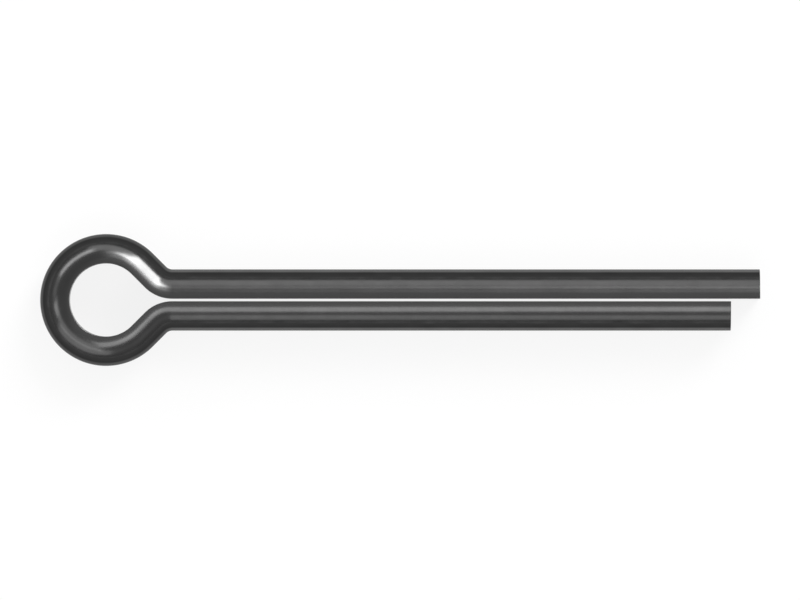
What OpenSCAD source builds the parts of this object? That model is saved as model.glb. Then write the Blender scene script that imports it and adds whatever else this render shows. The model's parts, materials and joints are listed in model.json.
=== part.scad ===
// Cotter pin, or split pin: one length of half-round wire bent into an eye, with
// its two legs brought together flat to flat. It lies on its side. X runs along
// the legs from the eye to the tips, Y across them, and Z through the eye's hole.
// The origin is on the shank's axis under the eye, where the outer lines of the
// eye's shoulders would meet those of the legs.

/* [Shank] */
// Thickness across both legs, with the gap between them
shank_d = 3.06; // [2.6:0.02:3.4]
// Gap between the flat faces of the legs
leg_gap = 0.12; // [0.04:0.02:0.3]
// Length of the short leg, from under the eye to its tip
shank_l = 28; // [10:1:60]
// How far the long leg's tip stands past the short one's
tip_step = 1.45; // [0:0.05:3]

/* [Eye] */
// Diameter of the eye's hole
eye_hole_d = 3.64; // [3.2:0.02:5]
// Angle between the eye's shoulders and the legs
shoulder_angle = 45; // [40:1:50]
// Radius inside the tight bend between a shoulder and its leg
bend_r = 0.45; // [0.2:0.05:0.6]

/* [Wire] */
// Radius along the two long edges of the wire's flat face
edge_r = 0.06; // [0.04:0.01:0.2]

/* [Hidden] */
$fn = 64;

// The rounds of both legs lie on one circle, the shank's, and the gap splits it
round_r = shank_d / 2;
half_gap = leg_gap / 2;
wire_t = round_r - half_gap;

// The circles of the rounded edges stand a little proud of the round, to cross it cleanly
edge_proud = 0.001;
edge_reach = round_r - edge_r + edge_proud;
flat_half_w = sqrt(pow(edge_reach, 2) - pow(edge_r + half_gap, 2));

// In the bend the wire's flat face is on the outside
flat_bend_r = bend_r + wire_t;
// Where the flat faces of a shoulder and its leg would meet without the bend
flat_corner_x = -wire_t * tan(shoulder_angle / 2);
leg_start_x = flat_corner_x + flat_bend_r * tan(shoulder_angle / 2);

// The shoulders leave the eye's ring as tangents
eye_hole_r = eye_hole_d / 2;
eye_x = flat_corner_x - (eye_hole_r - half_gap * cos(shoulder_angle)) / sin(shoulder_angle);
shoulder_l = (flat_corner_x - eye_x) * cos(shoulder_angle) - half_gap * sin(shoulder_angle)
    - flat_bend_r * tan(shoulder_angle / 2);

// Straight wire runs this far into the curved wire at its ends, so that no seam is left
seam_lap = 0.00001;

// The wire's section, with its flat face on the Y axis and its round side towards +X
module wire_section() {
    outside = 2 * round_r;
    ray = [edge_r + half_gap, flat_half_w] * outside / edge_reach;
    intersection() {
        translate([-half_gap, 0]) circle(round_r);
        union() {
            polygon([
                [0, -flat_half_w],
                [edge_r, -flat_half_w],
                [ray.x - half_gap, -ray.y],
                [outside, -outside],
                [outside, outside],
                [ray.x - half_gap, ray.y],
                [edge_r, flat_half_w],
                [0, flat_half_w],
            ]);
            for (side = [-1, 1])
                translate([edge_r, side * flat_half_w]) circle(edge_r);
        }
    }
}

// Wire along +X from the origin, with its flat face at y = 0 and its round side towards +Y
module straight_wire(length) {
    translate([-seam_lap, 0, 0])
        rotate([90, 0, 90]) linear_extrude(length + 2 * seam_lap) wire_section();
}

module eye_ring() {
    translate([eye_x, 0, 0])
        rotate_extrude(angle = 180 + 2 * shoulder_angle, start = 90 - shoulder_angle)
            translate([eye_hole_r, 0]) wire_section();
}

module shoulder() {
    translate([eye_x, 0, 0]) rotate(-shoulder_angle)
        translate([0, eye_hole_r, 0]) straight_wire(shoulder_l);
}

module leg_bend() {
    translate([leg_start_x, half_gap + flat_bend_r, 0])
        rotate_extrude(angle = shoulder_angle, start = 270 - shoulder_angle)
            translate([flat_bend_r, 0]) mirror([1, 0]) wire_section();
}

module leg(tip_x) {
    translate([leg_start_x, half_gap, 0]) straight_wire(tip_x - leg_start_x);
}

// Joins its children at a hundredth of their size, where end faces that should
// meet are too close for a rounding error to leave a seam between them
module weld() {
    scale(100) union() {
        for (i = [0 : $children - 1]) scale(0.01) children(i);
    }
}

module cotter_pin() {
    color("#4a4a4a") weld() {
        eye_ring();
        shoulder();
        leg_bend();
        leg(shank_l + tip_step);
        mirror([0, 1, 0]) shoulder();
        mirror([0, 1, 0]) leg_bend();
        mirror([0, 1, 0]) leg(shank_l);
    }
}

cotter_pin();
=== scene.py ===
import json
import math

import bpy
from mathutils import Matrix, Quaternion, Vector


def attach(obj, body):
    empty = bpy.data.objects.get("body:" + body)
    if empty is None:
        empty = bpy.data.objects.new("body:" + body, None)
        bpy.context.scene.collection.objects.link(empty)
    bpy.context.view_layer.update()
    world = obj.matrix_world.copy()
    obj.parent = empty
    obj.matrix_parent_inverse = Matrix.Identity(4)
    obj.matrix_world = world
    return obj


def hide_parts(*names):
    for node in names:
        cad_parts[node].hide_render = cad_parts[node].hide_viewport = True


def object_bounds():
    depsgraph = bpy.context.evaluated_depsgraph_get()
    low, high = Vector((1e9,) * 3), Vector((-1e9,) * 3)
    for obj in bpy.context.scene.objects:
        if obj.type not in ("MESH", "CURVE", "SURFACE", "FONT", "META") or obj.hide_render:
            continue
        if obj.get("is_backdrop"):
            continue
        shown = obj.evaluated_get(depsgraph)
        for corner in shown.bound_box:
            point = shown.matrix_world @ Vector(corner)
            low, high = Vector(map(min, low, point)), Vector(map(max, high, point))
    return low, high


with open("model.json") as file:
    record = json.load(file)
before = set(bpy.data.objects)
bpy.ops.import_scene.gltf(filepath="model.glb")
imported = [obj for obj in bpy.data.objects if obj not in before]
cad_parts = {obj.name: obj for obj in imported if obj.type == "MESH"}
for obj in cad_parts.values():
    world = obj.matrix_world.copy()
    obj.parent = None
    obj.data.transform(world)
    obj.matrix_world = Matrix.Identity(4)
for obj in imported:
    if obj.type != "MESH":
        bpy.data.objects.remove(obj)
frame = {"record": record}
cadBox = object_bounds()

mm = 0.001
mounts = {mount["name"]: mount for mount in frame["record"]["mounts"]}


def addNode(tree, kind, inputs=None, **settings):
    node = tree.nodes.new(kind)
    for name, value in settings.items():
        setattr(node, name, value)
    for key, value in (inputs or {}).items():
        if isinstance(value, bpy.types.NodeSocket):
            tree.links.new(value, node.inputs[key])
        else:
            node.inputs[key].default_value = value
    return node


def calculate(tree, operation, first, second=0.0):
    node = addNode(tree, "ShaderNodeMath", {0: first, 1: second}, operation=operation)
    return node.outputs[0]


def negative(tree, value):
    return calculate(tree, "MULTIPLY", value, -1.0)


# The wire's path is the line of its flat face, and its sizes are in millimetres
pinWire = {
    "roundRadius": mounts["shank"]["dims"]["r_mm"],
    "holeRadius": mounts["eye"]["dims"]["r_mm"],
    "eyeX": mounts["eye"]["pos_m"][0] / mm,
    "halfGap": 0.06,
    "shoulderAngle": 45,
    "bendInside": 0.45,  # tight side of the bend between a shoulder and its leg
    "longTipX": 29.45,
    "shortTipX": 28.0,
    "edgeRadius": 0.035,  # along the two long edges of the flat face
    "tipBreak": 0.02,  # round the cut ends
    "tipBreakSteps": 2,
    "tipBreakAngle": 60,  # edges sharper than this are broken
    "arcStep": 1.5,  # degrees from ring to ring in the bends and the eye
    "legStep": 0.5,  # and millimetres in the straight wire
    "roundPoints": 81,
    "edgePoints": 9,
    "flatCuts": 11,
    "sewDistance": 0.0005,  # the ends of the section's arcs and line are joined within this
}


def arcPoints(centre, radius, start, end, step):
    count = round(abs(end - start) / step)
    angles = [math.radians(start + (end - start) * i / count) for i in range(count + 1)]
    return [centre + radius * Vector((math.cos(a), math.sin(a), 0)) for a in angles]


def linePoints(start, end, step):
    count = math.ceil((end - start).length / step)
    return [start.lerp(end, i / count) for i in range(count + 1)]


def pinPath(size):
    angle = size["shoulderAngle"]
    thickness = size["roundRadius"] - size["halfGap"]
    bendRadius = size["bendInside"] + thickness
    bendX = size["bendInside"] * math.tan(math.radians(angle / 2))
    bend = Vector((bendX, size["halfGap"] + bendRadius, 0))
    eye = Vector((size["eyeX"], 0, 0))
    longTip = Vector((size["longTipX"], size["halfGap"], 0))
    shortTip = Vector((size["shortTipX"], -size["halfGap"], 0))

    upperBend = arcPoints(bend, bendRadius, 270, 270 - angle, size["arcStep"])
    lowerBend = [Vector((p.x, -p.y, 0)) for p in reversed(upperBend)]
    ring = arcPoints(eye, size["holeRadius"], 90 - angle, 270 + angle, size["arcStep"])
    return (
        linePoints(longTip, upperBend[0], size["legStep"])[:-1]
        + upperBend
        + linePoints(upperBend[-1], ring[0], size["legStep"])[1:-1]
        + ring
        + linePoints(ring[-1], lowerBend[0], size["legStep"])[1:-1]
        + lowerBend
        + linePoints(lowerBend[-1], shortTip, size["legStep"])[1:]
    )


def pathCurve(name, points):
    curve = bpy.data.curves.new(name, "CURVE")
    curve.dimensions = "3D"
    curve.twist_mode = "Z_UP"
    spline = curve.splines.new("POLY")
    spline.points.add(len(points) - 1)
    for place, point in zip(spline.points, points):
        place.co = (*point, 1)
    wire = bpy.data.objects.new(name, curve)
    bpy.context.scene.collection.objects.link(wire)
    return wire


# Geometry Nodes: a half-round section with rounded edges, swept along the path
def halfRoundSweep():
    tree = bpy.data.node_groups.new("halfRoundSweep", "GeometryNodeTree")
    tree.is_modifier = True
    face = tree.interface
    face.new_socket("Geometry", in_out="INPUT", socket_type="NodeSocketGeometry")
    for name in ("Round radius", "Half gap", "Edge radius", "Sew distance"):
        face.new_socket(name, in_out="INPUT", socket_type="NodeSocketFloat")
    for name in ("Round points", "Edge points", "Flat cuts"):
        face.new_socket(name, in_out="INPUT", socket_type="NodeSocketInt")
    face.new_socket("Finish", in_out="INPUT", socket_type="NodeSocketMaterial")
    face.new_socket("Geometry", in_out="OUTPUT", socket_type="NodeSocketGeometry")
    given = tree.nodes.new("NodeGroupInput").outputs

    # where the edges' arcs meet the round: their centres are (edge radius, +- flat half width)
    fromAxis = calculate(tree, "ADD", given["Edge radius"], given["Half gap"])
    reach = calculate(tree, "SUBTRACT", given["Round radius"], given["Edge radius"])
    flatHalfWidth = calculate(
        tree, "SQRT", calculate(
            tree, "SUBTRACT",
            calculate(tree, "POWER", reach, 2.0),
            calculate(tree, "POWER", fromAxis, 2.0),
        )
    )
    meetAngle = calculate(tree, "ARCTAN2", flatHalfWidth, fromAxis)

    def arc(points, radius, start, sweep, centreX, centreY):
        arcNode = addNode(
            tree, "GeometryNodeCurveArc",
            {"Resolution": points, "Radius": radius, "Start Angle": start, "Sweep Angle": sweep},
            mode="RADIUS",
        )
        centre = addNode(tree, "ShaderNodeCombineXYZ", {"X": centreX, "Y": centreY})
        return addNode(
            tree, "GeometryNodeTransform",
            {"Geometry": arcNode.outputs[0], "Translation": centre.outputs[0]},
        ).outputs[0]

    edgeSweep = calculate(tree, "SUBTRACT", math.pi, meetAngle)
    lowest = negative(tree, flatHalfWidth)
    back = arc(
        given["Round points"], given["Round radius"],
        negative(tree, meetAngle), calculate(tree, "MULTIPLY", meetAngle, 2.0),
        negative(tree, given["Half gap"]), 0.0,
    )
    upperEdge = arc(
        given["Edge points"], given["Edge radius"],
        meetAngle, edgeSweep, given["Edge radius"], flatHalfWidth,
    )
    lowerEdge = arc(
        given["Edge points"], given["Edge radius"],
        math.pi, edgeSweep, given["Edge radius"], lowest,
    )
    top = addNode(tree, "ShaderNodeCombineXYZ", {"Y": flatHalfWidth}).outputs[0]
    bottom = addNode(tree, "ShaderNodeCombineXYZ", {"Y": lowest}).outputs[0]
    line = addNode(tree, "GeometryNodeCurvePrimitiveLine", {"Start": top, "End": bottom})
    flat = addNode(
        tree, "GeometryNodeSubdivideCurve",
        {"Curve": line.outputs[0], "Cuts": given["Flat cuts"]},
    )
    joined = tree.nodes.new("GeometryNodeJoinGeometry")
    for part in (back, upperEdge, lowerEdge, flat.outputs[0]):
        tree.links.new(part, joined.inputs[0])
    loose = addNode(tree, "GeometryNodeCurveToMesh", {"Curve": joined.outputs[0]})
    closed = addNode(
        tree, "GeometryNodeMergeByDistance",
        {"Geometry": loose.outputs[0], "Distance": given["Sew distance"]},
    )
    section = addNode(tree, "GeometryNodeMeshToCurve", {"Mesh": closed.outputs[0]})

    # each point remembers its place in the section and its length along the wire
    place = tree.nodes.new("GeometryNodeInputPosition").outputs[0]
    heldPlace = tree.nodes.new("GeometryNodeCaptureAttribute")
    heldPlace.capture_items.new("VECTOR", "Place")
    tree.links.new(section.outputs[0], heldPlace.inputs["Geometry"])
    tree.links.new(place, heldPlace.inputs["Place"])
    along = tree.nodes.new("GeometryNodeSplineParameter").outputs["Length"]
    heldAlong = tree.nodes.new("GeometryNodeCaptureAttribute")
    heldAlong.capture_items.new("FLOAT", "Along")
    tree.links.new(given["Geometry"], heldAlong.inputs["Geometry"])
    tree.links.new(along, heldAlong.inputs["Along"])

    swept = addNode(
        tree, "GeometryNodeCurveToMesh",
        {
            "Curve": heldAlong.outputs["Geometry"],
            "Profile Curve": heldPlace.outputs["Geometry"],
            "Fill Caps": True,
        },
    )
    parted = addNode(tree, "ShaderNodeSeparateXYZ", {0: heldPlace.outputs["Place"]})
    wirePlace = addNode(
        tree, "ShaderNodeCombineXYZ",
        {
            "X": heldAlong.outputs["Along"],
            "Y": parted.outputs["X"],
            "Z": negative(tree, parted.outputs["Y"]),
        },
    )
    placed = addNode(
        tree, "GeometryNodeStoreNamedAttribute",
        {"Geometry": swept.outputs[0], "Name": "wirePlace", "Value": wirePlace.outputs[0]},
        data_type="FLOAT_VECTOR", domain="POINT",
    )
    # the swept sides are all quads, so a face with more corners is a cut end
    corners = tree.nodes.new("GeometryNodeInputMeshFaceNeighbors").outputs["Vertex Count"]
    isCut = addNode(
        tree, "FunctionNodeCompare", {2: corners, 3: 4},
        data_type="INT", operation="GREATER_THAN",
    )
    cut = addNode(
        tree, "GeometryNodeStoreNamedAttribute",
        {"Geometry": placed.outputs[0], "Name": "cutFace", "Value": isCut.outputs[0]},
        data_type="FLOAT", domain="FACE",
    )
    smooth = addNode(tree, "GeometryNodeSetShadeSmooth", {"Geometry": cut.outputs[0]})
    real = addNode(tree, "GeometryNodeRealizeInstances", {"Geometry": smooth.outputs[0]})
    finished = addNode(
        tree, "GeometryNodeSetMaterial",
        {"Geometry": real.outputs[0], "Material": given["Finish"]},
    )
    result = tree.nodes.new("NodeGroupOutput")
    tree.links.new(finished.outputs[0], result.inputs["Geometry"])
    return tree


def plainMesh(dressed, name):
    depsgraph = bpy.context.evaluated_depsgraph_get()
    mesh = bpy.data.meshes.new_from_object(dressed.evaluated_get(depsgraph), depsgraph=depsgraph)
    mesh.name = name
    piece = bpy.data.objects.new(name, mesh)
    bpy.context.scene.collection.objects.link(piece)
    bpy.data.objects.remove(dressed)
    return piece


def makeWire(size, finish):
    guide = pathCurve("wirePath", pinPath(size))
    sweep = guide.modifiers.new("Half round", "NODES")
    sweep.node_group = halfRoundSweep()
    values = {
        "Round radius": size["roundRadius"],
        "Half gap": size["halfGap"],
        "Edge radius": size["edgeRadius"],
        "Round points": size["roundPoints"],
        "Edge points": size["edgePoints"],
        "Flat cuts": size["flatCuts"],
        "Sew distance": size["sewDistance"],
        "Finish": finish,
    }
    for item in sweep.node_group.interface.items_tree:
        if item.in_out == "INPUT" and item.name in values:
            sweep[item.identifier] = values[item.name]
    return plainMesh(guide, "pinWire")


# The finish: smooth drawn steel under a dark oxide, with painted shade in a band each side of
# the wire's back and painted highlight along its crown and long edges. Lengths are in mm, and a
# pair is where a change starts and ends
darkSteel = {
    "tone": 0.097,
    "shadeBandTone": 0.038,  # painted shade, in a band each side of the wire's back
    "shadeBandFrom": (0.87, 1.14),  # out from the flat face
    "shadeBandTo": (1.28, 1.38),
    "crownHighlightTone": 0.18,  # painted highlight beyond the band, along the middle of the back
    "eyeCrownHighlightTone": 0.12,  # a weaker painted highlight round the eye
    "crownHighlightShift": (-0.5, 0.5),  # where the painted highlight changes from the eye's to the legs', along X
    # paler along the long edges: rubbing, with painted highlight
    "edgeWearAndHighlightTone": 0.12,
    "edgeReach": (0.03, 0.30),  # how far the rubbing and painted highlight go from a long edge
    "wander": 0.06,  # the borders between tones wander by this
    "clouding": 0.08,  # share by which the tone wanders
    "cloudsPerMm": 1.1,
    "roughness": 0.2,
    "roughnessSpread": 0.03,
    "tint": 0.45,
    "linesPerMm": 9.0,
    "lineStretch": 0.004,  # how much slower the lines change along the wire than across it
    "lineDepth": 0.0005,
}

# A cut end: the blade slid down its upper part, and the rest broke away
cutEnd = {
    "tone": 0.17,
    "toneSpread": 0.2,  # share by which the tone differs from place to place
    "roughness": 0.34,
    "linesPerMm": 16.0,
    "lineStretch": 0.08,
    "lineDepth": 0.014,
    "tornFrom": 0.3,  # height up the flat face
    "tornWander": 0.15,
    "tornTeeth": 0.04,
    "tornBlend": 0.05,
    "tornTone": 0.11,
    "tornToneSpread": 0.3,
    "tornRoughness": 0.5,
    "grainsPerMm": 14.0,
    "grainDepth": 0.03,
}


def makeSteel(look, end, size):
    steel = bpy.data.materials.new("darkSteel")
    steel.use_nodes = True
    tree = steel.node_tree
    tree.nodes.clear()

    def stretched(vector, scale):
        node = addNode(tree, "ShaderNodeMapping", {"Vector": vector, "Scale": scale})
        return node.outputs[0]

    def noise(vector, scale, detail):
        return addNode(
            tree, "ShaderNodeTexNoise",
            {"Vector": vector, "Scale": scale, "Detail": detail, "Roughness": 0.55},
        ).outputs[0]

    def spread(value, start, finish, low, high, ease="LINEAR"):
        return addNode(
            tree, "ShaderNodeMapRange",
            {
                "Value": value, "From Min": start, "From Max": finish,
                "To Min": low, "To Max": high,
            },
            interpolation_type=ease,
        ).outputs[0]

    # noise mostly lies between 0.3 and 0.7
    def varied(pattern, middle, part):
        return spread(pattern, 0.3, 0.7, middle - part, middle + part)

    def blended(amount, first, second):
        node = addNode(
            tree, "ShaderNodeMix", {0: amount, 2: first, 3: second}, data_type="FLOAT"
        )
        return node.outputs[0]

    # wirePlace is (along the wire, away from the flat face, up the flat face) in mm
    place = addNode(tree, "ShaderNodeAttribute", attribute_name="wirePlace").outputs["Vector"]
    cut = addNode(tree, "ShaderNodeAttribute", attribute_name="cutFace").outputs["Fac"]
    body = tree.nodes.new("ShaderNodeTexCoord").outputs["Object"]
    out, up = addNode(tree, "ShaderNodeSeparateXYZ", {0: place}).outputs[1:3]
    clouds = noise(body, look["cloudsPerMm"] / mm, detail=4.0)
    lines = noise(
        stretched(place, (look["lineStretch"], 1, 1)), look["linesPerMm"], detail=3.0
    )
    shear = noise(stretched(place, (1, 1, end["lineStretch"])), end["linesPerMm"], detail=5.0)
    grain = noise(place, end["grainsPerMm"], detail=4.0)

    # painted shade in a band each side of the back, a painted highlight along the crown, and the long
    # edges rubbed paler with painted highlight on them
    flatHalf = math.sqrt(
        (size["roundRadius"] - size["edgeRadius"]) ** 2
        - (size["edgeRadius"] + size["halfGap"]) ** 2
    )
    upEdge = calculate(tree, "SUBTRACT", calculate(tree, "ABSOLUTE", up), flatHalf)
    toEdge = calculate(
        tree, "SQRT", calculate(
            tree, "ADD",
            calculate(tree, "MULTIPLY", out, out),
            calculate(tree, "MULTIPLY", upEdge, upEdge),
        )
    )
    wandering = varied(clouds, 0.0, look["wander"])
    # long edges paler: rubbing, with painted highlight
    edge = spread(
        calculate(tree, "ADD", toEdge, wandering), *look["edgeReach"], 1.0, 0.0, "SMOOTHSTEP"
    )
    # painted shade: a darker band each side of the wire's back
    shadeBand = spread(
        calculate(tree, "ADD", out, wandering), *look["shadeBandFrom"], 0.0, 1.0, "SMOOTHSTEP"
    )
    # painted highlight along the middle of the back, weaker round the eye
    crown = spread(out, *look["shadeBandTo"], 0.0, 1.0, "SMOOTHSTEP")
    alongX = addNode(tree, "ShaderNodeSeparateXYZ", {0: body}).outputs["X"]
    crownHighlightTone = spread(
        alongX, look["crownHighlightShift"][0] * mm, look["crownHighlightShift"][1] * mm,
        look["eyeCrownHighlightTone"], look["crownHighlightTone"], "SMOOTHSTEP",
    )
    tone = blended(shadeBand, look["tone"], look["shadeBandTone"])
    tone = blended(crown, blended(edge, tone, look["edgeWearAndHighlightTone"]), crownHighlightTone)

    # the cut ends
    wobble = calculate(
        tree, "ADD",
        varied(shear, 0.0, end["tornTeeth"]),
        varied(clouds, 0.0, end["tornWander"]),
    )
    torn = spread(
        calculate(tree, "ADD", up, wobble),
        end["tornFrom"] + end["tornBlend"], end["tornFrom"] - end["tornBlend"], 0.0, 1.0,
    )
    slid = varied(shear, end["tone"], end["tone"] * end["toneSpread"])
    broken = varied(grain, end["tornTone"], end["tornTone"] * end["tornToneSpread"])
    tone = blended(cut, tone, blended(torn, slid, broken))
    tone = calculate(tree, "MULTIPLY", tone, varied(clouds, 1.0, look["clouding"]))
    colour = addNode(tree, "ShaderNodeCombineColor", {0: tone, 1: tone, 2: tone}).outputs[0]

    drawn = varied(lines, look["roughness"], look["roughnessSpread"] / 2)
    rough = blended(cut, drawn, blended(torn, end["roughness"], end["tornRoughness"]))
    height = blended(
        cut,
        calculate(tree, "MULTIPLY", lines, look["lineDepth"]),
        blended(
            torn,
            calculate(tree, "MULTIPLY", shear, end["lineDepth"]),
            calculate(tree, "MULTIPLY", grain, end["grainDepth"]),
        ),
    )
    bump = addNode(
        tree, "ShaderNodeBump", {"Strength": 1.0, "Distance": mm, "Height": height}
    )
    shader = addNode(
        tree, "ShaderNodeBsdfPrincipled",
        {
            "Base Color": colour,
            "Metallic": 1.0,
            "Roughness": rough,
            "Specular Tint": (look["tint"], look["tint"], look["tint"], 1.0),
            "Normal": bump.outputs[0],
        },
    )
    surface = tree.nodes.new("ShaderNodeOutputMaterial")
    tree.links.new(shader.outputs[0], surface.inputs["Surface"])
    return steel


def finishWire(wire, size):
    wire.data.transform(Matrix.Scale(mm, 4))
    bevel = wire.modifiers.new("Tip break", "BEVEL")
    bevel.width = size["tipBreak"] * mm
    bevel.segments = size["tipBreakSteps"]
    bevel.limit_method = "ANGLE"
    bevel.angle_limit = math.radians(size["tipBreakAngle"])
    bevel.harden_normals = True


# The stage: a pale floor that the pin lies on, softboxes, and a camera that looks straight down
stage = {
    "floorSize": 4.0,
    "floorColour": 0.85,
    "floorGlow": 0.86,  # share of plain white in what the camera and the metal see of the floor
    "world": 0.4,
    "boxDistance": 1.6,
    "cameraHeight": 1.0,
    "frameWidth": 39.87 * mm,
    "sensor": 36.0,
}

# Azimuth turns from +X towards +Y, and zenith is the angle from straight up. The spans and the
# roll are angles too, all in degrees, and brightness is in parts of white
softboxes = {
    "key": {"azimuth": 50, "zenith": 56, "wide": 17, "tall": 33, "roll": -10, "brightness": 10.8},
    "keyTop": {"azimuth": 48, "zenith": 35, "wide": 17, "tall": 12, "brightness": 3.3},
    "keySide": {"azimuth": 61, "zenith": 52, "wide": 15, "tall": 18, "brightness": 3.2},
    "keyTail": {"azimuth": 69, "zenith": 49, "wide": 12, "tall": 9, "brightness": 6.8},
    "keyFar": {"azimuth": 80, "zenith": 49, "wide": 15, "tall": 10, "brightness": 1.7},
    "keyHalo": {"azimuth": 58, "zenith": 22, "wide": 30, "tall": 18, "brightness": 0.2},
    "backHigh": {"azimuth": 72, "zenith": 36, "wide": 17, "tall": 11, "brightness": 1.2},
    "backStrip": {"azimuth": 86, "zenith": 68, "wide": 50, "tall": 24, "roll": -12, "brightness": 1.0},
    "backLeftStrip": {"azimuth": 129, "zenith": 63, "wide": 42, "tall": 13, "roll": -6, "brightness": 3.1},
    "leftFill": {"azimuth": 165, "zenith": 65, "wide": 22, "tall": 14, "brightness": 0.5},
    "leftPanel": {"azimuth": 190, "zenith": 58, "wide": 15, "tall": 15, "roll": 12, "brightness": 1.9},
    "leftStrip": {"azimuth": 237, "zenith": 59, "wide": 50, "tall": 5, "roll": 4, "brightness": 1.1},
    "frontLeft": {"azimuth": 234, "zenith": 63, "wide": 52, "tall": 42, "roll": 7, "brightness": 0.85},
    "ceiling": {"azimuth": 300, "zenith": 14, "wide": 70, "tall": 30, "brightness": 0.18},
    "overhead": {"azimuth": 287, "zenith": 33, "wide": 38, "tall": 16, "roll": 8, "brightness": 2.1},
    "overheadRight": {"azimuth": 305, "zenith": 30, "wide": 18, "tall": 8, "brightness": 0.8},
    "frontStrip": {"azimuth": 268, "zenith": 70, "wide": 12, "tall": 20, "brightness": 0.85},
    "frontRightStrip": {"azimuth": 300, "zenith": 65, "wide": 52, "tall": 14, "brightness": 0.15},
    "rightPanel": {"azimuth": 0, "zenith": 62, "wide": 50, "tall": 30, "brightness": 0.5},
}


def makeFloor(level):
    mesh = bpy.data.meshes.new("floor")
    half = stage["floorSize"] / 2
    corners = [
        (-half, -half, level), (half, -half, level), (half, half, level), (-half, half, level),
    ]
    mesh.from_pydata(corners, [], [(0, 1, 2, 3)])
    floor = bpy.data.objects.new("floor", mesh)
    bpy.context.scene.collection.objects.link(floor)

    paper = bpy.data.materials.new("palePaper")
    paper.use_nodes = True
    tree = paper.node_tree
    tree.nodes.clear()
    rays = tree.nodes.new("ShaderNodeLightPath").outputs
    seen = calculate(
        tree, "MAXIMUM",
        calculate(tree, "MAXIMUM", rays["Is Camera Ray"], rays["Is Glossy Ray"]),
        rays["Is Transmission Ray"],
    )
    tone = stage["floorColour"]
    matt = addNode(tree, "ShaderNodeBsdfDiffuse", {"Color": (tone, tone, tone, 1)})
    glow = addNode(tree, "ShaderNodeEmission", {"Color": (1, 1, 1, 1), "Strength": 1.0})
    amount = calculate(tree, "MULTIPLY", seen, stage["floorGlow"])
    mixed = addNode(
        tree, "ShaderNodeMixShader", {0: amount, 1: matt.outputs[0], 2: glow.outputs[0]}
    )
    surface = tree.nodes.new("ShaderNodeOutputMaterial")
    tree.links.new(mixed.outputs[0], surface.inputs["Surface"])
    mesh.materials.append(paper)
    floor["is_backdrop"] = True


def makeWorld():
    world = bpy.data.worlds.new("studio")
    bpy.context.scene.world = world
    world.use_nodes = True
    tone = stage["world"]
    world.node_tree.nodes["Background"].inputs["Color"].default_value = (tone, tone, tone, 1)


def makeSoftbox(name, box):
    azimuth, zenith = math.radians(box["azimuth"]), math.radians(box["zenith"])
    roll = Quaternion((0, 0, 1), math.radians(box.get("roll", 0)))
    distance = stage["boxDistance"]
    away = Vector((
        math.sin(zenith) * math.cos(azimuth),
        math.sin(zenith) * math.sin(azimuth),
        math.cos(zenith),
    ))
    light = bpy.data.lights.new(name, "AREA")
    light.shape = "RECTANGLE"
    light.size = 2 * distance * math.tan(math.radians(box["wide"] / 2))
    light.size_y = 2 * distance * math.tan(math.radians(box["tall"] / 2))
    light.energy = box["brightness"] * math.pi * light.size * light.size_y
    lamp = bpy.data.objects.new(name, light)
    lamp.location = away * distance
    lamp.rotation_euler = (away.to_track_quat("Z", "Y") @ roll).to_euler()
    lamp.visible_camera = False
    bpy.context.scene.collection.objects.link(lamp)


def makeCamera(middle):
    data = bpy.data.cameras.new("camera")
    data.sensor_width = stage["sensor"]
    data.lens = stage["sensor"] * stage["cameraHeight"] / stage["frameWidth"]
    camera = bpy.data.objects.new("camera", data)
    camera.location = (middle.x, middle.y, stage["cameraHeight"])
    bpy.context.scene.collection.objects.link(camera)
    bpy.context.scene.camera = camera


print("pin wire")
wire = makeWire(pinWire, makeSteel(darkSteel, cutEnd, pinWire))
finishWire(wire, pinWire)
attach(wire, "root")
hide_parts("cotter_pin")

print("stage")
makeFloor(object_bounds()[0].z)
makeWorld()
for name, box in softboxes.items():
    makeSoftbox(name, box)
makeCamera((cadBox[0] + cadBox[1]) / 2)

bpy.context.scene.view_settings.view_transform = "Standard"
